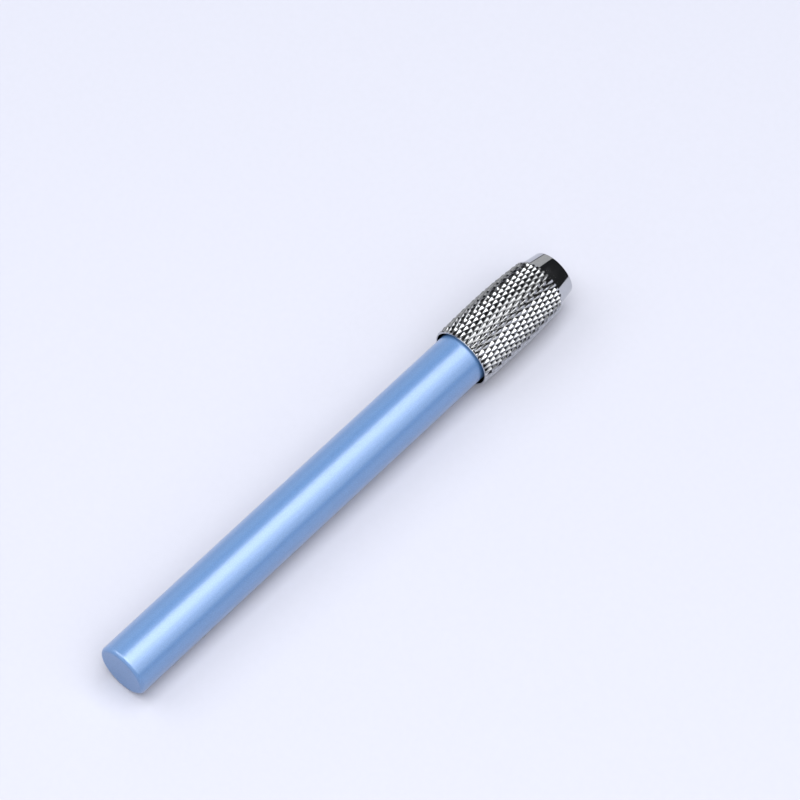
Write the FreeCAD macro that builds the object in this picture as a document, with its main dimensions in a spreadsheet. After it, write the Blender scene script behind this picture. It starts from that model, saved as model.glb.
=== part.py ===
import FreeCAD, Part
import math
import os
import Sketcher

# Pencil extender: a closed tube that carries a four-jaw collet in its mouth and a knurled nut
# that screws over it.  Everything is turned about one axis.  The object lies along X with the
# mouth toward +X; each body measures its own x from the flat butt face and its radius from the
# common axis, and its Placement carries it to the part's frame.

doc = FreeCAD.newDocument("pencil_extender")

# ---------------------------------------------------------------- driving sizes, millimetres
SIZES = [
    ("overall_length", 109.2, "butt face to mouth rim"),
    ("barrel_diameter", 10.0, "outside of the tube"),
    ("barrel_wall", 0.7, "side wall of the tube"),
    ("butt_thickness", 1.2, "closed end of the tube"),
    ("butt_round", 0.7, "outer edge of the closed end"),
    ("barrel_cover", 3.3, "length of tube hidden inside the nut's skirt"),
    ("nut_length", 20.9, "knurled length"),
    ("skirt_gap", 0.55, "radial gap between the tube and the nut's skirt"),
    ("rim_wall", 0.38, "skirt wall at the rear rim, to the knurl crests"),
    ("belly_rise", 0.22, "rise of the crests from the rear rim to the fullest place"),
    ("belly_position", 9.3, "fullest place, from the rear rim"),
    ("belly_drop", 0.6, "fall of the crests from the fullest place to the front"),
    ("rim_chamfer", 0.12, "bevel on both ends of the knurl"),
    ("skirt_depth", 6.8, "plain bore behind the nut's thread"),
    ("nut_thread_length", 6.1, "threaded length inside the nut"),
    ("nose_length", 3.6, "smooth nose in front of the knurl"),
    ("nose_angle", 9.0, "taper of the nose, inside and outside, degrees"),
    ("lip_wall", 0.5, "wall of the nose at the mouth"),
    ("lip_round", 0.15, "outer edge of the mouth rim"),
    ("tail_wall", 0.25, "wall of the nose piece inside the nut"),
    ("sleeve_gap", 0.06, "radial gap between the nose piece and the nut's bore"),
    ("mouth_margin", 0.05, "mouth radius beyond the collet's bore"),
    ("base_insert", 8.0, "length of the collet base pressed into the tube"),
    ("insert_wall", 0.35, "wall of the collet base inside the tube"),
    ("flange_thickness", 0.6, "shoulder resting on the end of the tube"),
    ("thread_step", 0.2, "thread crest below the tube's outside"),
    ("thread_length", 7.0, "threaded length of the collet base"),
    ("thread_pitch", 1.0, "pitch of the nut's thread"),
    ("thread_depth", 0.45, "depth of the thread"),
    ("thread_gap", 0.08, "radial gap between crest and nut"),
    ("neck_length", 1.4, "plain neck in front of the thread"),
    ("neck_wall", 0.35, "wall of the neck and of the jaw shanks"),
    ("root_gap", 0.1, "saw-cut gap behind each jaw"),
    ("jaw_angle", 78.0, "arc taken by each jaw, degrees"),
    ("jaw_setback", 0.8, "jaw tips behind the mouth rim"),
    ("jaw_taper_length", 4.2, "start of the jaw taper behind the mouth rim"),
    ("jaw_gap", 0.16, "radial gap between jaws and closing cone"),
    ("jaw_ramp", 1.2, "length of the ramp from shank to head"),
    ("grip_step", 0.35, "grip land inside the collet's bore"),
    ("grip_length", 5.0, "length of the grip land"),
    ("grip_lead", 0.25, "lead-in bevel at the jaw tips"),
]

sheet = doc.addObject("Spreadsheet::Sheet", "dims")
for row, (alias, value, note) in enumerate(SIZES, start=1):
    sheet.set("A%d" % row, alias)
    sheet.set("B%d" % row, str(value))
    sheet.setAlias("B%d" % row, alias)
    sheet.set("C%d" % row, note)
doc.recompute()


def size(alias):
    """Present value of a driving size."""
    return float(getattr(sheet, alias))


def text(formula):
    """Replace every {name} by a reference to that cell of the sheet."""
    out = formula
    for alias, _, _ in SIZES:
        out = out.replace("{%s}" % alias, "dims.%s" % alias)
    return out


def value_of(formula):
    """Number a formula gives for the present sizes."""
    holder = doc.addObject("App::FeaturePython", "probe")
    holder.addProperty("App::PropertyFloat", "number")
    holder.setExpression("number", text(formula))
    holder.recompute()
    number = holder.number
    doc.removeObject(holder.Name)
    return number


# ---------------------------------------------------------------- stations along the axis
TAPER = "tan({nose_angle} * 1 deg)"
KNURL_END = "({overall_length} - {nose_length})"
NUT_REAR = "(%s - {nut_length})" % KNURL_END
BARREL_END = "(%s + {barrel_cover})" % NUT_REAR
FLANGE_END = "(%s + {flange_thickness})" % BARREL_END
THREAD_END = "(%s + {thread_length})" % FLANGE_END
BASE_END = "(%s + {neck_length})" % THREAD_END
JAW_ROOT = "(%s + {root_gap})" % BASE_END
JAW_TIP = "({overall_length} - {jaw_setback})"
JAW_SHOULDER = "({overall_length} - {jaw_taper_length})"
SKIRT_END = "(%s + {skirt_depth})" % NUT_REAR
NUT_THREAD_END = "(%s + {nut_thread_length})" % SKIRT_END

# ---------------------------------------------------------------- radii from the axis
BARREL_R = "({barrel_diameter} / 2)"
BORE_R = "(%s - {barrel_wall})" % BARREL_R
COLLET_R = "(%s - {insert_wall})" % BORE_R
CREST_R = "(%s - {thread_step})" % BARREL_R
ROOT_R = "(%s - {thread_depth})" % CREST_R
NECK_R = "(%s + {neck_wall})" % COLLET_R
GRIP_R = "(%s - {grip_step})" % COLLET_R
SKIRT_R = "(%s + {skirt_gap})" % BARREL_R
RIM_R = "(%s + {rim_wall})" % SKIRT_R
BELLY_R = "(%s + {belly_rise})" % RIM_R
FRONT_R = "(%s - {belly_drop})" % BELLY_R
NUT_THREAD_R = "(%s + {thread_gap})" % CREST_R
MOUTH_R = "(%s + {mouth_margin})" % COLLET_R
LIP_R = "(%s + {lip_wall})" % MOUTH_R
NOSE_R = "(%s + {nose_length} * %s)" % (LIP_R, TAPER)
CHAMBER_R = "(%s - {tail_wall})" % NOSE_R
SLEEVE_R = "(%s + {sleeve_gap})" % NOSE_R
JAW_TIP_R = "(%s + {jaw_setback} * %s - {jaw_gap})" % (MOUTH_R, TAPER)
JAW_HEAD_R = "(%s + {jaw_taper_length} * %s - {jaw_gap})" % (MOUTH_R, TAPER)


def plane_of(body, role):
    """Origin plane of a body, found by its role."""
    for feature in body.Origin.OriginFeatures:
        if feature.Role == role:
            return feature
    raise RuntimeError("no plane " + role)


def arc_between(start, end, centre):
    """Arc from start to end about centre, and whether it is stored end-first."""
    radius = math.hypot(start[0] - centre[0], start[1] - centre[1])
    first = math.atan2(start[1] - centre[1], start[0] - centre[0])
    last = math.atan2(end[1] - centre[1], end[0] - centre[0])
    turn = (last - first) % (2 * math.pi)
    circle = Part.Circle(FreeCAD.Vector(centre[0], centre[1], 0), FreeCAD.Vector(0, 0, 1), radius)
    if turn < math.pi:
        return Part.ArcOfCircle(circle, first, first + turn), False
    return Part.ArcOfCircle(circle, last, last + (2 * math.pi - turn)), True


def turned_profile(body, corners):
    """Closed half section in the body's XZ plane.

    Each corner is (x formula, radius formula) and may carry a third entry, the (x, radius)
    formulas of the centre of an arc that runs on to the next corner.
    """
    sketch = body.newObject("Sketcher::SketchObject", body.Name + "_section")
    sketch.AttachmentSupport = [(plane_of(body, "XZ_Plane"), "")]
    sketch.MapMode = "FlatFace"
    points = [(value_of(corner[0]), value_of(corner[1])) for corner in corners]
    count = len(corners)
    ends = []
    for index, corner in enumerate(corners):
        start = points[index]
        end = points[(index + 1) % count]
        if len(corner) == 3:
            centre = (value_of(corner[2][0]), value_of(corner[2][1]))
            curve, swapped = arc_between(start, end, centre)
            sketch.addGeometry(curve, False)
            ends.append((2, 1) if swapped else (1, 2))
        else:
            line = Part.LineSegment(FreeCAD.Vector(start[0], start[1], 0),
                                    FreeCAD.Vector(end[0], end[1], 0))
            sketch.addGeometry(line, False)
            ends.append((1, 2))
    for index in range(count):
        following = (index + 1) % count
        sketch.addConstraint(Sketcher.Constraint("Coincident", index, ends[index][1],
                                                 following, ends[following][0]))
    for index, corner in enumerate(corners):
        at = (index, ends[index][0])
        if corner[0] == "0":
            sketch.addConstraint(Sketcher.Constraint("PointOnObject", at[0], at[1], -2))
        else:
            bind(sketch, "DistanceX", at, points[index][0], "x%d" % index, corner[0])
        if corner[1] == "0":
            sketch.addConstraint(Sketcher.Constraint("PointOnObject", at[0], at[1], -1))
        else:
            bind(sketch, "DistanceY", at, points[index][1], "r%d" % index, corner[1])
        if len(corner) == 3:
            centre_x = value_of(corner[2][0])
            bind(sketch, "DistanceX", (index, 3), centre_x, "cx%d" % index, corner[2][0])
    return sketch


def bind(sketch, kind, at, number, name, formula):
    """Distance from the sketch origin to a point, driven by the sheet."""
    row = sketch.addConstraint(Sketcher.Constraint(kind, -1, 1, at[0], at[1], number))
    sketch.renameConstraint(row, name)
    sketch.setExpression("Constraints." + name, text(formula))


def turned_body(name, corners, arc=None, roll=0.0):
    """Body revolved about the common axis; arc is a formula in degrees, whole turn if left out."""
    body = doc.addObject("PartDesign::Body", name)
    body.Label = name
    sketch = turned_profile(body, corners)
    turn = body.newObject("PartDesign::Revolution", name + "_turned")
    turn.Profile = sketch
    turn.ReferenceAxis = (sketch, ["H_Axis"])
    turn.Angle = 360.0
    if arc is not None:
        turn.Midplane = True
        turn.setExpression("Angle", text(arc))
    sketch.Visibility = False
    body.Tip = turn
    body.Placement = FreeCAD.Placement(
        FreeCAD.Vector(-size("overall_length") / 2, 0, value_of(BELLY_R)),
        FreeCAD.Rotation(FreeCAD.Vector(1, 0, 0), roll))
    body.setExpression(".Placement.Base.x", text("-{overall_length} / 2"))
    body.setExpression(".Placement.Base.z", text(BELLY_R))
    return body


# ---------------------------------------------------------------- barrel: closed tube
turned_body("barrel_tube", [
    ("0", "0"),
    ("0", "%s - {butt_round}" % BARREL_R, ("{butt_round}", "%s - {butt_round}" % BARREL_R)),
    ("{butt_round}", BARREL_R),
    (BARREL_END, BARREL_R),
    (BARREL_END, BORE_R),
    ("{butt_thickness} + {butt_round}", BORE_R,
     ("{butt_thickness} + {butt_round}", "%s - {butt_round}" % BORE_R)),
    ("{butt_thickness}", "%s - {butt_round}" % BORE_R),
    ("{butt_thickness}", "0"),
])

# ---------------------------------------------------------------- collet base: pressed bush
thread_turns = int(size("thread_length") / size("thread_pitch"))
base_section = [
    ("%s - {base_insert}" % BARREL_END, COLLET_R),
    ("%s - {base_insert}" % BARREL_END, "%s - 0.2" % BORE_R),
    ("%s - {base_insert} + 0.2" % BARREL_END, BORE_R),
    (BARREL_END, BORE_R),
    (BARREL_END, BARREL_R),
    (FLANGE_END, BARREL_R),
    (FLANGE_END, ROOT_R),
]
for turn_number in range(thread_turns):
    groove = "%s + %d * {thread_pitch}" % (FLANGE_END, turn_number)
    base_section += [
        ("%s + 0.1 * {thread_pitch}" % groove, ROOT_R),
        ("%s + 0.45 * {thread_pitch}" % groove, CREST_R),
        ("%s + 0.6 * {thread_pitch}" % groove, CREST_R),
        ("%s + 0.95 * {thread_pitch}" % groove, ROOT_R),
    ]
base_section += [
    (THREAD_END, NECK_R),
    (BASE_END, NECK_R),
    (BASE_END, COLLET_R),
]
turned_body("collet_base", base_section)

# ---------------------------------------------------------------- four collet jaws
GRIP_START = "(%s - {grip_length})" % JAW_TIP
jaw_section = [
    (JAW_ROOT, COLLET_R),
    (JAW_ROOT, NECK_R),
    ("%s - {jaw_ramp}" % JAW_SHOULDER, NECK_R),
    (JAW_SHOULDER, JAW_HEAD_R),
    (JAW_TIP, JAW_TIP_R),
    (JAW_TIP, "%s + {grip_lead}" % GRIP_R),
    ("%s - {grip_lead}" % JAW_TIP, GRIP_R),
    (GRIP_START, GRIP_R),
    ("%s - {grip_step}" % GRIP_START, COLLET_R),
]
JAW_ROLLS = {"jaw_top": 0.0, "jaw_right": 90.0, "jaw_bottom": 180.0, "jaw_left": 270.0}
for jaw_name, jaw_roll in JAW_ROLLS.items():
    turned_body(jaw_name, jaw_section, arc="{jaw_angle}", roll=jaw_roll)

# ---------------------------------------------------------------- nose piece with closing cone
TAIL_START = "(%s + 0.2)" % NUT_THREAD_END
CONE_START = "({overall_length} - (%s - %s) / %s)" % (CHAMBER_R, MOUTH_R, TAPER)
LIP_SIDE_R = "(%s + {lip_round} * %s)" % (LIP_R, TAPER)
turned_body("nose_cone", [
    (TAIL_START, CHAMBER_R),
    (TAIL_START, NOSE_R),
    (KNURL_END, NOSE_R),
    ("{overall_length} - {lip_round}", LIP_SIDE_R),
    ("{overall_length}", "%s - {lip_round}" % LIP_R),
    ("{overall_length}", MOUTH_R),
    (CONE_START, CHAMBER_R),
])

# ---------------------------------------------------------------- knurled nut
BELLY_X = "(%s + {belly_position})" % NUT_REAR
REAR_REACH = "({belly_position} - {rim_chamfer})"
FRONT_REACH = "({nut_length} - {belly_position} - {rim_chamfer})"
REAR_SWEEP = "((%s ^ 2 + {belly_rise} ^ 2) / (2 * {belly_rise}))" % REAR_REACH
FRONT_SWEEP = "((%s ^ 2 + {belly_drop} ^ 2) / (2 * {belly_drop}))" % FRONT_REACH
turned_body("knurled_nut", [
    (NUT_REAR, SKIRT_R),
    (NUT_REAR, "%s - {rim_chamfer}" % RIM_R),
    ("%s + {rim_chamfer}" % NUT_REAR, RIM_R, (BELLY_X, "%s - %s" % (BELLY_R, REAR_SWEEP))),
    (BELLY_X, BELLY_R, (BELLY_X, "%s - %s" % (BELLY_R, FRONT_SWEEP))),
    ("%s - {rim_chamfer}" % KNURL_END, FRONT_R),
    (KNURL_END, "%s - {rim_chamfer}" % FRONT_R),
    (KNURL_END, SLEEVE_R),
    (NUT_THREAD_END, SLEEVE_R),
    (NUT_THREAD_END, NUT_THREAD_R),
    (SKIRT_END, NUT_THREAD_R),
    (SKIRT_END, SKIRT_R),
])

# ---------------------------------------------------------------- recompute, test and export
doc.recompute()
bodies = [item for item in doc.Objects if item.TypeId == "PartDesign::Body"]
for item in doc.Objects:
    if "Invalid" in item.State or "Error" in item.State:
        raise RuntimeError("%s did not recompute: %s" % (item.Name, item.State))
os.makedirs("parts", exist_ok=True)
for body in bodies:
    if body.Shape.isNull() or not body.Shape.isValid():
        raise RuntimeError("bad shape: " + body.Label)
    body.Shape.exportStep("parts/%s.step" % body.Label)
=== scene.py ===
"""Pencil extender: closed painted tube, knurled nut, smooth nose and collet on a pale floor."""

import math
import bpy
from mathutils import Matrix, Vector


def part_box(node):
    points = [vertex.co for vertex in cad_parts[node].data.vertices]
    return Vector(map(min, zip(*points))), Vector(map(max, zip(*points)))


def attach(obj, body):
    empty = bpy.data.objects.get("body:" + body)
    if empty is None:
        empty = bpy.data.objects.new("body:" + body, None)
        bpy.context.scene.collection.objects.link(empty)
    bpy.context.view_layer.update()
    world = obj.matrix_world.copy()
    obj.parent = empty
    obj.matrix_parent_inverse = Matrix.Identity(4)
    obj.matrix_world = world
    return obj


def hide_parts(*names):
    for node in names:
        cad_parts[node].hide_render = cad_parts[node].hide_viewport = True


bl_info = {
    "name": "Pencil Extender",
    "version": (1, 0, 0),
    "blender": (4, 5, 0),
    "location": "View3D > Sidebar > Pencil Extender",
    "description": "Builds the tube, nut, nose and collet of a pencil extender and its stage",
    "category": "Add Mesh",
}

import bmesh
import bpy
from mathutils import Matrix, Vector

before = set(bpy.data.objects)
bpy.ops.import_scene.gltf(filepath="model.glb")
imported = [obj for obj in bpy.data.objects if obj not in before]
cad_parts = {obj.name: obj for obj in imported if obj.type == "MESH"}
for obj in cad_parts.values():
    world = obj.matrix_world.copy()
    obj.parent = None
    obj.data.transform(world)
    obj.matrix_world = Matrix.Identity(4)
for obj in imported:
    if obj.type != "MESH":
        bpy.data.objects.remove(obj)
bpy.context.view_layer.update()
TUBE_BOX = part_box("barrel_tube")
NUT_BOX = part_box("knurled_nut")
NOSE_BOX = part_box("nose_cone")

MM = 0.001
AXIS_Z = (TUBE_BOX[0].z + TUBE_BOX[1].z) / 2
TUBE_RADIUS = (TUBE_BOX[1].z - TUBE_BOX[0].z) / 2
CREST_RADIUS = (NUT_BOX[1].z - NUT_BOX[0].z) / 2
NOSE_RADIUS = (NOSE_BOX[1].z - NOSE_BOX[0].z) / 2
BUTT_X = TUBE_BOX[0].x
TUBE_END_X = TUBE_BOX[1].x
NUT_REAR_X = NUT_BOX[0].x
NUT_FRONT_X = NUT_BOX[1].x
NOSE_TAIL_X = NOSE_BOX[0].x
MOUTH_X = NOSE_BOX[1].x
CLOSE = 1e-6
ROW_REACH = 0.1 * MM
CENTRE_REACH = 0.3 * MM
RING_REACH = 0.05 * MM
TRIM = 0.05 * MM
RIM_STEP = 0.06 * MM
BORE_STEP = 0.05 * MM
CORNER_ROOM = 0.12 * MM
MOUTH_EDGE = 0.08 * MM
MOUTH_BAND = 0.3 * MM
LIP_ROOM = 2.4
NOSE_SIDES = 128
LAMP_DISTANCE = 1.2
GROOVE_MARK = "groove_depth"
# near-black colour of the grime and painted shade in the bottoms of the knurl grooves
GROOVE_GRIME_AND_SHADE = (0.02, 0.02, 0.022, 1.0)
# overhead softbox in strips: lean range toward -Y in degrees, share of the key brightness
OVERHEAD_STRIPS = ((-15, 24, 1.0), (24, 45, 0.60), (45, 70, 0.33), (70, 80, 0.10))
# other lights: name, brightness setting, lean, turn, sideways, length, width
CARDS = (
    ("side_card", "card", -68, 0, -0.2, 1.7, 0.8),
    ("corner_card", "card", -61, 0, 1.2, 1.1, 1.1),
    ("back_light", "back", -38, 0, -0.45, 1.1, 0.75),
    ("end_card", "end", 73, -90, 0.0, 1.5, 0.62),
)


# ------------------------------------------------------------------ settings
class TubeSettings(bpy.types.PropertyGroup):
    """Sizes and colours of the painted tube."""

    wall: bpy.props.FloatProperty(
        name="Wall", description="Side wall of the tube", default=0.7 * MM, unit="LENGTH")
    butt_wall: bpy.props.FloatProperty(
        name="Butt wall", description="Thickness of the closed end", default=1.2 * MM,
        unit="LENGTH")
    butt_round: bpy.props.FloatProperty(
        name="Butt round", description="Rounding of the closed end's edge", default=0.7 * MM,
        unit="LENGTH")
    sides: bpy.props.IntProperty(
        name="Sides", description="Facets around the tube", default=128)
    butt_gloss: bpy.props.FloatProperty(
        name="Butt gloss", description="Clear coat left on the rubbed closed end", default=0.5,
        subtype="FACTOR", min=0.0, max=1.0)
    paint: bpy.props.FloatVectorProperty(
        name="Paint", description="Metallic paint colour", subtype="COLOR", size=4,
        default=(0.086, 0.192, 0.405, 1.0))


class NutSettings(bpy.types.PropertyGroup):
    """Sizes of the knurled nut."""

    diamonds: bpy.props.IntProperty(
        name="Diamonds", description="Knurl diamonds around the nut", default=37)
    rows: bpy.props.IntProperty(
        name="Rows", description="Half-diamond rows along the nut", default=16)
    groove: bpy.props.FloatProperty(
        name="Groove", description="Depth of the knurl grooves", default=0.32 * MM, unit="LENGTH")
    saddle: bpy.props.FloatProperty(
        name="Saddle", description="Extra depth of the shallower set of grooves",
        default=0.11 * MM, unit="LENGTH")
    hand: bpy.props.IntProperty(
        name="Hand", description="Which of the two sets of grooves is the shallower", default=1)
    twist: bpy.props.FloatProperty(
        name="Twist", description="Drift of the knurl from one row to the next",
        default=math.radians(-0.25), subtype="ANGLE")
    crest_wear: bpy.props.FloatProperty(
        name="Crest wear", description="Width rubbed off the knurl edges", default=0.03 * MM,
        unit="LENGTH")
    # grime and painted shade: how far the groove bottoms are darkened toward near black
    grime_and_shade: bpy.props.FloatProperty(
        name="Grime_and_shade", description="How dark the bottoms of the grooves are", default=0.6,
        subtype="FACTOR", min=0.0, max=1.0)
    rear_rim: bpy.props.FloatProperty(
        name="Rear rim", description="Plain rim behind the knurl", default=0.30 * MM, unit="LENGTH")
    front_run: bpy.props.FloatProperty(
        name="Front run", description="Length over which the knurl runs out", default=0.55 * MM,
        unit="LENGTH")
    belly: bpy.props.FloatProperty(
        name="Belly", description="Fullest place, from the rear rim", default=9.3 * MM,
        unit="LENGTH")
    rear_fall: bpy.props.FloatProperty(
        name="Rear fall", description="Fall of the crests toward the rear rim", default=0.22 * MM,
        unit="LENGTH")
    front_fall: bpy.props.FloatProperty(
        name="Front fall", description="Fall of the crests toward the nose", default=0.60 * MM,
        unit="LENGTH")
    skirt_gap: bpy.props.FloatProperty(
        name="Skirt gap", description="Gap between tube and skirt", default=0.55 * MM,
        unit="LENGTH")
    skirt_depth: bpy.props.FloatProperty(
        name="Skirt depth", description="Depth of the plain skirt bore", default=6.8 * MM,
        unit="LENGTH")
    thread_length: bpy.props.FloatProperty(
        name="Thread length", description="Threaded length inside the nut", default=6.1 * MM,
        unit="LENGTH")
    thread_radius: bpy.props.FloatProperty(
        name="Thread radius", description="Radius of the nut's thread bore", default=4.88 * MM,
        unit="LENGTH")
    nose_gap: bpy.props.FloatProperty(
        name="Nose gap", description="Gap between nose and nut", default=0.06 * MM, unit="LENGTH")
    metal: bpy.props.FloatVectorProperty(
        name="Metal", description="Polished metal colour", subtype="COLOR", size=4,
        default=(0.56, 0.57, 0.59, 1.0))


class NoseSettings(bpy.types.PropertyGroup):
    """Sizes of the smooth nose."""

    taper: bpy.props.FloatProperty(
        name="Taper", description="Taper of the nose", default=math.radians(9), subtype="ANGLE")
    lip_wall: bpy.props.FloatProperty(
        name="Lip wall", description="Wall at the mouth", default=0.5 * MM, unit="LENGTH")
    lip_round: bpy.props.FloatProperty(
        name="Lip round", description="Rounding of the mouth rim", default=0.12 * MM, unit="LENGTH")
    tail_wall: bpy.props.FloatProperty(
        name="Tail wall", description="Wall inside the nut", default=0.25 * MM, unit="LENGTH")


class ColletSettings(bpy.types.PropertyGroup):
    """Colour of the collet."""

    brass: bpy.props.FloatVectorProperty(
        name="Brass", description="Turned brass colour", subtype="COLOR", size=4,
        default=(0.80, 0.62, 0.33, 1.0))


class StageSettings(bpy.types.PropertyGroup):
    """Floor, lights and camera."""

    floor: bpy.props.FloatVectorProperty(
        name="Floor", description="Floor colour", subtype="COLOR", size=4,
        default=(0.440, 0.450, 0.518, 1.0))
    key: bpy.props.FloatProperty(
        name="Key", description="Brightness of the overhead softbox", default=5.1)
    card: bpy.props.FloatProperty(
        name="Card", description="Brightness of the low side card", default=0.6)
    back: bpy.props.FloatProperty(
        name="Back light", description="Brightness of the light behind the butt", default=3.1)
    end: bpy.props.FloatProperty(
        name="End card", description="Brightness of the low card beyond the butt", default=1.35)
    surroundings: bpy.props.FloatProperty(
        name="Surroundings", description="Brightness of the rest of the room", default=0.03)
    lens: bpy.props.FloatProperty(
        name="Lens", description="Focal length in millimetres", default=195.84)
    azimuth: bpy.props.FloatProperty(
        name="Azimuth", description="Turn of the view about the vertical",
        default=math.radians(-47.41), subtype="ANGLE")
    elevation: bpy.props.FloatProperty(
        name="Elevation", description="Height of the view above the horizon",
        default=math.radians(57.50), subtype="ANGLE")
    roll: bpy.props.FloatProperty(
        name="Roll", description="Lean of the view", default=math.radians(-0.158), subtype="ANGLE")
    distance: bpy.props.FloatProperty(
        name="Distance", description="Camera to aim point", default=0.7628, unit="LENGTH")
    aim: bpy.props.FloatVectorProperty(
        name="Aim", description="Point the camera looks at", subtype="TRANSLATION",
        default=(0.01926, 0.00445, 0.00054))


# ------------------------------------------------------------------ modelling helpers
def clear_selection():
    """Nothing selected, nothing in edit mode."""
    active = bpy.context.object
    if active is not None and active.mode != "OBJECT":
        bpy.ops.object.mode_set(mode="OBJECT")
    bpy.ops.object.select_all(action="DESELECT")


def name_piece(name):
    """Name the new primitive and put its place and turn into its mesh."""
    piece = bpy.context.object
    piece.name = name
    piece.data.name = name
    bpy.ops.object.transform_apply(location=True, rotation=True, scale=True)
    return piece


def radius_of(point):
    """Distance of a point from the common axis."""
    return math.hypot(point.y, point.z - AXIS_Z)


def pick(kind, test):
    """Select only the vertices, edges or faces that pass the test."""
    bpy.ops.mesh.select_mode(type=kind)
    bpy.ops.mesh.select_all(action="DESELECT")
    mesh = bpy.context.edit_object.data
    shape = bmesh.from_edit_mesh(mesh)
    for item in {"VERT": shape.verts, "EDGE": shape.edges, "FACE": shape.faces}[kind]:
        if test(item):
            item.select_set(True)
    shape.select_flush_mode()
    bmesh.update_edit_mesh(mesh)


def pick_points(test):
    """Select only the vertices whose place passes the test."""
    pick("VERT", lambda point: test(point.co))


def pick_edges(test):
    """Select only the edges whose two ends pass the test."""
    pick("EDGE", lambda edge: test(edge.verts[0].co, edge.verts[1].co))


def pick_faces(test):
    """Select only the faces whose middle and normal pass the test."""
    pick("FACE", lambda face: test(face.calc_center_median(), face.normal))


def pick_ring(x, radius, slack=0.02 * MM):
    """Select the edge ring at one station and radius."""
    def on_ring(point):
        return abs(point.x - x) < slack and abs(radius_of(point) - radius) < slack
    pick_edges(lambda a, b: on_ring(a) and on_ring(b))


def pick_open_ring(x, slack):
    """Select the open boundary ring at one station."""
    pick("EDGE", lambda edge: edge.is_boundary
         and all(abs(point.co.x - x) < slack for point in edge.verts))


def scale_about_axis(factor, x):
    """Scale the selection toward or away from the common axis."""
    bpy.ops.transform.resize(value=(1, factor, factor), center_override=(x, 0, AXIS_Z))


def carry_ring(start, end):
    """Extrude the selected ring from one (x, radius) station to the next."""
    bpy.ops.mesh.extrude_region_move(TRANSFORM_OT_translate={"value": (end[0] - start[0], 0, 0)})
    if abs(end[1] - start[1]) > 1e-9:
        scale_about_axis(end[1] / start[1], end[0])


def cut_ring(x):
    """Cut an edge ring all the way round at one station."""
    bpy.ops.mesh.select_all(action="SELECT")
    bpy.ops.mesh.bisect(plane_co=(x, 0, AXIS_Z), plane_no=(1, 0, 0), threshold=CLOSE)


def trim_shell(x, side):
    """Cut the shell square at one station and drop what lies beyond it."""
    bpy.ops.mesh.select_all(action="SELECT")
    bpy.ops.mesh.bisect(plane_co=(x, 0, AXIS_Z), plane_no=(side, 0, 0), clear_outer=True,
                        threshold=CLOSE)


def close_piece(smooth_angle):
    """Weld, turn the faces outward, and shade."""
    bpy.ops.mesh.select_mode(type="VERT")
    bpy.ops.mesh.select_all(action="SELECT")
    bpy.ops.mesh.remove_doubles(threshold=1e-7)
    bpy.ops.mesh.normals_make_consistent(inside=False)
    bpy.ops.object.mode_set(mode="OBJECT")
    bpy.ops.object.shade_smooth_by_angle(angle=smooth_angle)


def dress(piece, material):
    """One material over the whole piece."""
    piece.data.materials.clear()
    piece.data.materials.append(material)


def dress_node(node, material):
    """Put a material in every slot of a CAD node."""
    if not node.material_slots:
        node.data.materials.append(material)
    for row in node.material_slots:
        row.material = material


# ------------------------------------------------------------------ materials
def new_material(name):
    """New material with its nodes, links and shader."""
    material = bpy.data.materials.new(name)
    material.use_nodes = True
    nodes = material.node_tree.nodes
    shader = nodes.get("Principled BSDF")
    return material, nodes, material.node_tree.links, shader


def grain_group():
    """Fine random grain in object space, made once and shared."""
    name = "fine_grain"
    if name in bpy.data.node_groups:
        return bpy.data.node_groups[name]
    group = bpy.data.node_groups.new(name, "ShaderNodeTree")
    face = group.interface
    scale = face.new_socket(name="Scale", in_out="INPUT", socket_type="NodeSocketFloat")
    scale.default_value = 4000.0
    low = face.new_socket(name="Low", in_out="INPUT", socket_type="NodeSocketFloat")
    low.default_value = 0.0
    high = face.new_socket(name="High", in_out="INPUT", socket_type="NodeSocketFloat")
    high.default_value = 1.0
    face.new_socket(name="Value", in_out="OUTPUT", socket_type="NodeSocketFloat")
    nodes, links = group.nodes, group.links
    entry = nodes.new("NodeGroupInput")
    leave = nodes.new("NodeGroupOutput")
    place = nodes.new("ShaderNodeTexCoord")
    noise = nodes.new("ShaderNodeTexNoise")
    noise.inputs["Detail"].default_value = 3.0
    spread = nodes.new("ShaderNodeMapRange")
    spread.inputs["From Min"].default_value = 0.3
    spread.inputs["From Max"].default_value = 0.7
    links.new(place.outputs["Object"], noise.inputs["Vector"])
    links.new(entry.outputs["Scale"], noise.inputs["Scale"])
    links.new(noise.outputs["Fac"], spread.inputs["Value"])
    links.new(entry.outputs["Low"], spread.inputs["To Min"])
    links.new(entry.outputs["High"], spread.inputs["To Max"])
    links.new(spread.outputs["Result"], leave.inputs["Value"])
    return group


def grain(nodes, scale, low, high):
    """The shared grain placed in a material; returns its value socket."""
    node = nodes.new("ShaderNodeGroup")
    node.node_tree = grain_group()
    node.inputs["Scale"].default_value = scale
    node.inputs["Low"].default_value = low
    node.inputs["High"].default_value = high
    return node.outputs["Value"]


def tinted(nodes, links, mask, dark, light):
    """Colour that runs from dark to light with a mask."""
    mix = nodes.new("ShaderNodeMix")
    mix.data_type = "RGBA"
    for socket, colour in ((mix.inputs[6], dark), (mix.inputs[7], light)):
        if isinstance(colour, bpy.types.NodeSocket):
            links.new(colour, socket)
        else:
            socket.default_value = colour
    links.new(mask, mix.inputs[0])
    return mix.outputs[2]


def shade(colour, factor):
    """Colour made lighter or darker."""
    return (colour[0] * factor, colour[1] * factor, colour[2] * factor, 1.0)


def bumped(nodes, links, height, strength, distance):
    """Bump from a height; returns the normal socket."""
    bump = nodes.new("ShaderNodeBump")
    bump.inputs["Strength"].default_value = strength
    bump.inputs["Distance"].default_value = distance
    links.new(height, bump.inputs["Height"])
    return bump.outputs["Normal"]


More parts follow.
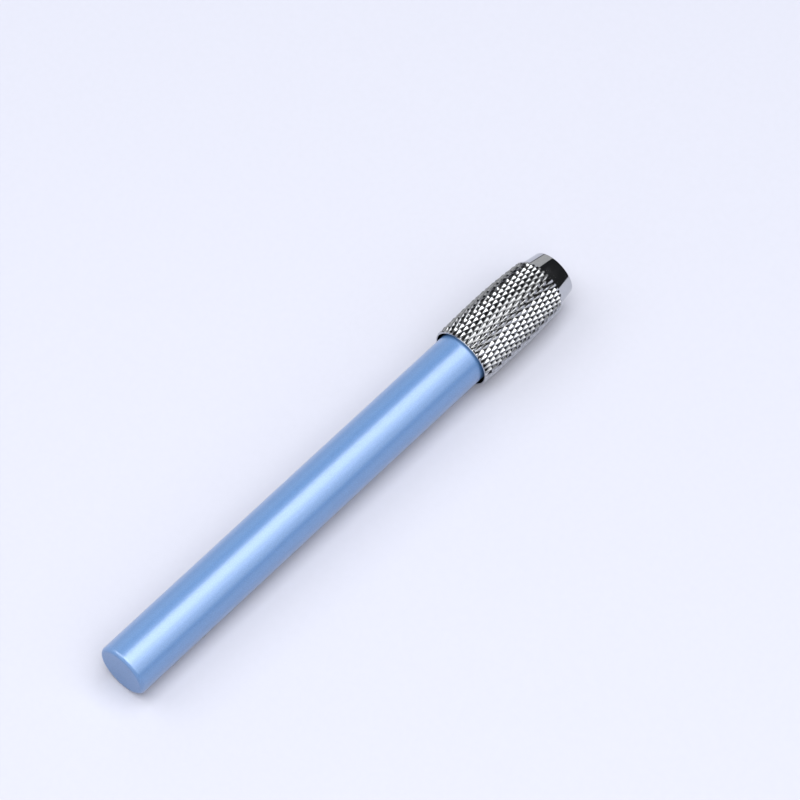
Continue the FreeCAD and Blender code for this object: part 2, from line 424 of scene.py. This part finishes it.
def rubbed_end(nodes, links, x, reach, gloss):
    """Mask that rises from gloss at a flat end to 1 within its reach along the axis."""
    place = nodes.new("ShaderNodeTexCoord")
    split = nodes.new("ShaderNodeSeparateXYZ")
    ramp = nodes.new("ShaderNodeMapRange")
    ramp.inputs["From Min"].default_value = x
    ramp.inputs["From Max"].default_value = x + reach
    ramp.inputs["To Min"].default_value = gloss
    links.new(place.outputs["Object"], split.inputs["Vector"])
    links.new(split.outputs["X"], ramp.inputs["Value"])
    return ramp.outputs["Result"]


def tube_paint(settings):
    """Satin metallic paint with fine flakes."""
    material, nodes, links, shader = new_material("metallic_tube_paint")
    flakes = grain(nodes, 6000.0, 0.0, 1.0)
    colour = tinted(nodes, links, flakes, shade(settings.paint, 0.9), shade(settings.paint, 1.12))
    links.new(colour, shader.inputs["Base Color"])
    links.new(grain(nodes, 5000.0, 0.34, 0.46), shader.inputs["Roughness"])
    links.new(bumped(nodes, links, flakes, 0.25, 0.00002), shader.inputs["Normal"])
    rubbed = nodes.new("ShaderNodeMath")
    rubbed.operation = "MULTIPLY"
    links.new(grain(nodes, 6000.0, 0.80, 1.0), rubbed.inputs[0])
    links.new(rubbed_end(nodes, links, BUTT_X, settings.butt_round / 2, settings.butt_gloss),
              rubbed.inputs[1])
    links.new(rubbed.outputs[0], shader.inputs["Coat Weight"])
    shader.inputs["Metallic"].default_value = 0.2
    shader.inputs["Coat Roughness"].default_value = 0.29
    shader.inputs["Coat IOR"].default_value = 1.80
    return material


def bright_metal(name, colour, roughness, scratch, grime_and_shade=0.0):
    """Polished plated metal with slight haze, hairline marks, and grooves darkened by grime and
    painted shade.
    """
    material, nodes, links, shader = new_material(name)
    haze = grain(nodes, 700.0, roughness * 0.7, roughness * 1.4)
    links.new(haze, shader.inputs["Roughness"])
    mask = grain(nodes, 2500.0, 0.0, 1.0)
    finish = tinted(nodes, links, mask, shade(colour, 0.92), shade(colour, 1.0))
    # darken the grooves toward near black by their depth: grime and painted shade
    if grime_and_shade:
        mark = nodes.new("ShaderNodeAttribute")
        mark.attribute_name = GROOVE_MARK
        spread = nodes.new("ShaderNodeMapRange")
        spread.inputs["From Min"].default_value = 0.25
        spread.inputs["To Max"].default_value = grime_and_shade
        links.new(mark.outputs["Fac"], spread.inputs["Value"])
        finish = tinted(nodes, links, spread.outputs["Result"], finish, GROOVE_GRIME_AND_SHADE)
    links.new(finish, shader.inputs["Base Color"])
    links.new(bumped(nodes, links, mask, scratch, 0.00001), shader.inputs["Normal"])
    shader.inputs["Metallic"].default_value = 1.0
    return material


def floor_paper(settings):
    """Plain pale paper."""
    material, nodes, links, shader = new_material("pale_floor")
    mask = grain(nodes, 900.0, 0.0, 1.0)
    links.new(tinted(nodes, links, mask, shade(settings.floor, 0.985), shade(settings.floor, 1.0)),
              shader.inputs["Base Color"])
    shader.inputs["Roughness"].default_value = 0.75
    shader.inputs["Specular IOR Level"].default_value = 0.2
    return material


# ------------------------------------------------------------------ operators
class PENCIL_OT_tube(bpy.types.Operator):
    """Closed painted tube with a rounded butt edge"""

    bl_idname = "pencil.tube"
    bl_label = "Painted tube"

    def execute(self, context):
        settings = context.scene.pencil_tube
        clear_selection()
        bpy.ops.mesh.primitive_cylinder_add(
            vertices=settings.sides, radius=TUBE_RADIUS, depth=TUBE_END_X - BUTT_X,
            end_fill_type="NGON", location=((BUTT_X + TUBE_END_X) / 2, 0, AXIS_Z),
            rotation=(0, math.pi / 2, 0))
        piece = name_piece("painted_tube")
        bore = TUBE_RADIUS - settings.wall
        floor_x = BUTT_X + settings.butt_wall
        bpy.ops.object.mode_set(mode="EDIT")
        pick_faces(lambda middle, normal: normal.x > 0.9)
        bpy.ops.mesh.inset(thickness=settings.wall)
        bpy.ops.mesh.extrude_region_move(
            TRANSFORM_OT_translate={"value": (floor_x - TUBE_END_X, 0, 0)})
        bpy.ops.mesh.inset(thickness=settings.butt_round + MOUTH_BAND)
        pick_faces(lambda middle, normal: middle.x < BUTT_X + CLOSE)
        bpy.ops.mesh.inset(thickness=settings.butt_round + CORNER_ROOM)
        cut_ring(BUTT_X + settings.butt_round + CORNER_ROOM)
        cut_ring(TUBE_END_X - MOUTH_BAND)
        pick_ring(BUTT_X, TUBE_RADIUS)
        bpy.ops.mesh.bevel(offset=settings.butt_round, segments=8, affect="EDGES")
        for radius in (TUBE_RADIUS, bore):
            pick_ring(TUBE_END_X, radius)
            bpy.ops.mesh.bevel(offset=MOUTH_EDGE, segments=2, affect="EDGES")
        close_piece(math.radians(40))
        dress(piece, tube_paint(settings))
        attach(piece, "barrel")
        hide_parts("barrel_tube")
        return {"FINISHED"}


class PENCIL_OT_nut(bpy.types.Operator):
    """Barrel-shaped nut with a cut diamond knurl"""

    bl_idname = "pencil.nut"
    bl_label = "Knurled nut"

    def crest(self, settings, x):
        """Crest radius at a station."""
        middle = NUT_REAR_X + settings.belly
        if x < middle:
            fall = settings.rear_fall * ((middle - x) / settings.belly) ** 2
        else:
            fall = settings.front_fall * ((x - middle) / (NUT_FRONT_X - middle)) ** 2
        return CREST_RADIUS - fall

    def execute(self, context):
        settings = context.scene.pencil_nut
        sides = 2 * settings.diamonds
        first = NUT_REAR_X + settings.rear_rim
        last = NUT_FRONT_X - settings.front_run
        clear_selection()
        bpy.ops.mesh.primitive_cylinder_add(
            vertices=sides, radius=CREST_RADIUS, depth=last - first, end_fill_type="NOTHING",
            location=((first + last) / 2, 0, AXIS_Z), rotation=(0, math.pi / 2, 0))
        piece = name_piece("diamond_knurled_nut")
        bpy.ops.object.mode_set(mode="EDIT")
        pick_edges(lambda a, b: abs(a.x - b.x) > CLOSE)
        bpy.ops.mesh.subdivide(number_cuts=settings.rows - 1)

        step = 2 * math.pi / sides

        def side_of(point):
            return round(math.atan2(point.z - AXIS_Z, point.y) / step)

        for row in range(settings.rows + 1):
            x = first + (last - first) * row / settings.rows
            crest = self.crest(settings, x)
            pick_points(lambda point: abs(point.x - x) < ROW_REACH)
            scale_about_axis(crest / CREST_RADIUS, x)
            pick_points(lambda point: abs(point.x - x) < ROW_REACH
                        and (side_of(point) + row) % 2)
            scale_about_axis((crest - settings.groove) / crest, x)
        pitch = (last - first) / settings.rows

        def on_shallow_groove(middle, normal):
            column = math.floor(math.atan2(middle.z - AXIS_Z, middle.y) / step)
            return (column + math.floor((middle.x - first) / pitch)) % 2 == settings.hand

        pick_faces(on_shallow_groove)
        bpy.ops.mesh.poke(offset=-settings.saddle)
        bpy.ops.mesh.select_all(action="SELECT")
        bpy.ops.mesh.quads_convert_to_tris(quad_method="SHORTEST_DIAGONAL")
        for row in range(settings.rows + 1):
            x = first + (last - first) * row / settings.rows
            pick_points(lambda point: abs(point.x - x) < ROW_REACH)
            bpy.ops.transform.rotate(value=settings.twist * row, orient_axis="X",
                                     center_override=(x, 0, AXIS_Z))
            if row < settings.rows:
                pick_points(lambda point: abs(point.x - x - pitch / 2) < CENTRE_REACH)
                bpy.ops.transform.rotate(value=settings.twist * (row + 0.5), orient_axis="X",
                                         center_override=(x, 0, AXIS_Z))
        pick_edges(lambda a, b: not (abs(a.x - b.x) < CLOSE
                                     and (a.x < first + CLOSE or a.x > last - CLOSE)))
        bpy.ops.mesh.bevel(offset=settings.crest_wear, segments=1, affect="EDGES")
        first += TRIM
        last -= TRIM
        trim_shell(first, -1)
        trim_shell(last, 1)

        rear_crest = self.crest(settings, NUT_REAR_X)
        skirt = TUBE_RADIUS + settings.skirt_gap
        sleeve = NOSE_RADIUS + settings.nose_gap
        skirt_end = NUT_REAR_X + settings.skirt_depth
        thread_end = skirt_end + settings.thread_length
        rim = rear_crest - 2 * RIM_STEP
        self.even_ring(first, NUT_REAR_X + RIM_STEP, rim)
        inside = [
            (NUT_REAR_X + RIM_STEP, rim),
            (NUT_REAR_X, rim - RIM_STEP),
            (NUT_REAR_X, skirt + RIM_STEP / 2),
            (NUT_REAR_X + BORE_STEP, skirt),
            (skirt_end, skirt),
            (skirt_end, settings.thread_radius),
            (thread_end, settings.thread_radius),
            (thread_end, sleeve),
            (NUT_FRONT_X - BORE_STEP, sleeve),
        ]
        for start, end in zip(inside, inside[1:]):
            carry_ring(start, end)
        run_out = self.crest(settings, last) - settings.groove - RIM_STEP / 3
        self.even_ring(last, NUT_FRONT_X, run_out)
        pick_open_ring(NUT_FRONT_X, ROW_REACH)
        bpy.ops.mesh.bridge_edge_loops()
        close_piece(math.radians(15))
        self.mark_grooves(piece, settings, first, last)
        dress(piece, bright_metal("plated_knurl", settings.metal, roughness=0.1, scratch=0.02,
                                  grime_and_shade=settings.grime_and_shade))
        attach(piece, "nut")
        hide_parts("knurled_nut")
        return {"FINISHED"}

    def mark_grooves(self, piece, settings, first, last):
        """Store how deep each point lies in the knurl, 0 on the crests and 1 in the grooves, as the
        mask for the grime and painted shade.
        """
        mark = piece.data.attributes.new(GROOVE_MARK, "FLOAT", "POINT")
        for point, value in zip(piece.data.vertices, mark.data):
            x = point.co.x
            if first - CLOSE < x < last + CLOSE and radius_of(point.co) > TUBE_RADIUS:
                depth = (self.crest(settings, x) - radius_of(point.co)) / settings.groove
                value.value = min(max(depth, 0.0), 1.0)

    def even_ring(self, x, new_x, radius):
        """Extrude the toothed open ring at x to a plain round ring at new_x."""
        pick_open_ring(x, RING_REACH)
        bpy.ops.mesh.extrude_region_move(TRANSFORM_OT_translate={"value": (new_x - x, 0, 0)})
        mesh = bpy.context.edit_object.data
        shape = bmesh.from_edit_mesh(mesh)
        for point in shape.verts:
            if point.select:
                factor = radius / radius_of(point.co)
                point.co.y *= factor
                point.co.z = AXIS_Z + (point.co.z - AXIS_Z) * factor
        bmesh.update_edit_mesh(mesh)


class PENCIL_OT_nose(bpy.types.Operator):
    """Smooth tapered nose with a thin mouth rim and an inner closing cone"""

    bl_idname = "pencil.nose"
    bl_label = "Smooth nose"

    def execute(self, context):
        settings = context.scene.pencil_nose
        slope = math.tan(settings.taper)
        lip = NOSE_RADIUS - (MOUTH_X - NUT_FRONT_X) * slope
        mouth = lip - settings.lip_wall
        chamber = NOSE_RADIUS - settings.tail_wall
        cone_start = MOUTH_X - (chamber - mouth) / slope
        room = LIP_ROOM * settings.lip_round
        stations = [
            (NOSE_TAIL_X, chamber),
            (NOSE_TAIL_X, NOSE_RADIUS),
            (NUT_FRONT_X, NOSE_RADIUS),
            (MOUTH_X - room, lip + room * slope),
            (MOUTH_X, lip),
            (MOUTH_X, mouth),
            (MOUTH_X - room, mouth + room * slope),
            (cone_start, chamber),
        ]
        clear_selection()
        bpy.ops.mesh.primitive_circle_add(
            vertices=NOSE_SIDES, radius=chamber, fill_type="NOTHING",
            location=(NOSE_TAIL_X, 0, AXIS_Z), rotation=(0, math.pi / 2, 0))
        piece = name_piece("smooth_nose")
        bpy.ops.object.mode_set(mode="EDIT")
        bpy.ops.mesh.select_mode(type="EDGE")
        bpy.ops.mesh.select_all(action="SELECT")
        for start, end in zip(stations, stations[1:]):
            carry_ring(start, end)
        carry_ring(stations[-1], stations[0])
        bpy.ops.mesh.select_all(action="SELECT")
        bpy.ops.mesh.remove_doubles(threshold=CLOSE)
        for radius in (lip, mouth):
            pick_ring(MOUTH_X, radius)
            bpy.ops.mesh.bevel(offset=settings.lip_round, segments=4, affect="EDGES")
        close_piece(math.radians(30))
        metal = context.scene.pencil_nut.metal
        dress(piece, bright_metal("plated_nose", metal, roughness=0.07, scratch=0.01))
        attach(piece, "nose")
        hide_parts("nose_cone")
        return {"FINISHED"}


class PENCIL_OT_collet(bpy.types.Operator):
    """Turned finish on the collet base and its four jaws"""

    bl_idname = "pencil.collet"
    bl_label = "Collet"

    def execute(self, context):
        brass = bright_metal("turned_brass", context.scene.pencil_collet.brass, roughness=0.22,
                             scratch=0.08)
        for name in ("collet_base", "jaw_top", "jaw_right", "jaw_bottom", "jaw_left"):
            dress_node(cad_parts[name], brass)
        return {"FINISHED"}


class PENCIL_OT_stage(bpy.types.Operator):
    """Pale floor, soft lights and camera"""

    bl_idname = "pencil.stage"
    bl_label = "Stage"

    def softbox(self, name, lean, turn, side, length, width, brightness):
        """Area light leaning from the vertical toward -Y, turned about the vertical, in degrees."""
        lean, turn = math.radians(lean), math.radians(turn)
        place = Matrix.Rotation(turn, 3, "Z") @ Vector(
            (side, -math.sin(lean) * LAMP_DISTANCE, math.cos(lean) * LAMP_DISTANCE))
        lamp = bpy.data.lights.new(name, "AREA")
        lamp.shape = "RECTANGLE"
        lamp.size = length
        lamp.size_y = width
        lamp.energy = brightness * length * width * math.pi
        item = bpy.data.objects.new(name, lamp)
        bpy.context.scene.collection.objects.link(item)
        item.location = place
        item.rotation_euler = (lean, 0, turn)
        item.visible_camera = False

    def execute(self, context):
        settings = context.scene.pencil_stage
        contact = NUT_REAR_X + context.scene.pencil_nut.belly
        clear_selection()
        bpy.ops.mesh.primitive_plane_add(
            size=6, location=(contact, 0, 0),
            rotation=(0, math.atan2(TUBE_BOX[0].z, contact - BUTT_X), 0))
        floor = name_piece("floor")
        dress(floor, floor_paper(settings))

        for count, (start, end, share) in enumerate(OVERHEAD_STRIPS, start=1):
            width = 2 * LAMP_DISTANCE * math.tan(math.radians((end - start) / 2))
            self.softbox("overhead_softbox_%d" % count, (start + end) / 2, 0, 0.0, 1.5, width,
                         settings.key * share)
        for name, setting, lean, turn, side, length, width in CARDS:
            self.softbox(name, lean, turn, side, length, width, getattr(settings, setting))

        world = bpy.data.worlds.new("studio")
        world.use_nodes = True
        nodes, links = world.node_tree.nodes, world.node_tree.links
        plain = nodes["Background"]
        plain.inputs["Color"].default_value = (0.75, 0.78, 0.85, 1)
        plain.inputs["Strength"].default_value = settings.surroundings
        backdrop = nodes.new("ShaderNodeBackground")
        backdrop.inputs["Color"].default_value = (0.80, 0.82, 0.93, 1)
        rays = nodes.new("ShaderNodeLightPath")
        mix = nodes.new("ShaderNodeMixShader")
        links.new(rays.outputs["Is Camera Ray"], mix.inputs[0])
        links.new(plain.outputs[0], mix.inputs[1])
        links.new(backdrop.outputs[0], mix.inputs[2])
        links.new(mix.outputs[0], nodes["World Output"].inputs["Surface"])
        context.scene.world = world
        context.scene.view_settings.view_transform = "Standard"

        turn, rise = settings.azimuth, settings.elevation
        back = Vector((math.sin(turn) * math.cos(rise), -math.cos(turn) * math.cos(rise),
                       math.sin(rise)))
        right = (-back).cross(Vector((0, 0, 1))).normalized()
        up = right.cross(-back)
        across = right * math.cos(settings.roll) + up * math.sin(settings.roll)
        above = up * math.cos(settings.roll) - right * math.sin(settings.roll)
        lens = bpy.data.cameras.new("view")
        lens.lens = settings.lens
        lens.sensor_width = 36
        camera = bpy.data.objects.new("view", lens)
        context.scene.collection.objects.link(camera)
        place = Vector(settings.aim) + back * settings.distance
        turned = Matrix((across, above, back)).transposed().to_4x4()
        camera.matrix_world = Matrix.Translation(place) @ turned
        context.scene.camera = camera
        return {"FINISHED"}


class PENCIL_PT_builder(bpy.types.Panel):
    """Buttons for every piece of the pencil extender"""

    bl_idname = "PENCIL_PT_builder"
    bl_label = "Pencil Extender"
    bl_space_type = "VIEW_3D"
    bl_region_type = "UI"
    bl_category = "Pencil Extender"

    def draw(self, context):
        for operator in OPERATORS:
            self.layout.operator(operator.bl_idname)


SETTINGS = {
    "pencil_tube": TubeSettings,
    "pencil_nut": NutSettings,
    "pencil_nose": NoseSettings,
    "pencil_collet": ColletSettings,
    "pencil_stage": StageSettings,
}
OPERATORS = (PENCIL_OT_tube, PENCIL_OT_nut, PENCIL_OT_nose, PENCIL_OT_collet, PENCIL_OT_stage)
CLASSES = (*SETTINGS.values(), *OPERATORS, PENCIL_PT_builder)


def register():
    """Add the classes and hang each settings group on the scene."""
    for item in CLASSES:
        bpy.utils.register_class(item)
    for name, group in SETTINGS.items():
        setattr(bpy.types.Scene, name, bpy.props.PointerProperty(type=group))


def unregister():
    """Take the settings and classes away again."""
    for name in SETTINGS:
        delattr(bpy.types.Scene, name)
    for item in reversed(CLASSES):
        bpy.utils.unregister_class(item)


def main():
    """Build every piece and the stage."""
    register()
    bpy.ops.pencil.tube()
    bpy.ops.pencil.nut()
    bpy.ops.pencil.nose()
    bpy.ops.pencil.collet()
    bpy.ops.pencil.stage()


if __name__ == "__main__":
    main()
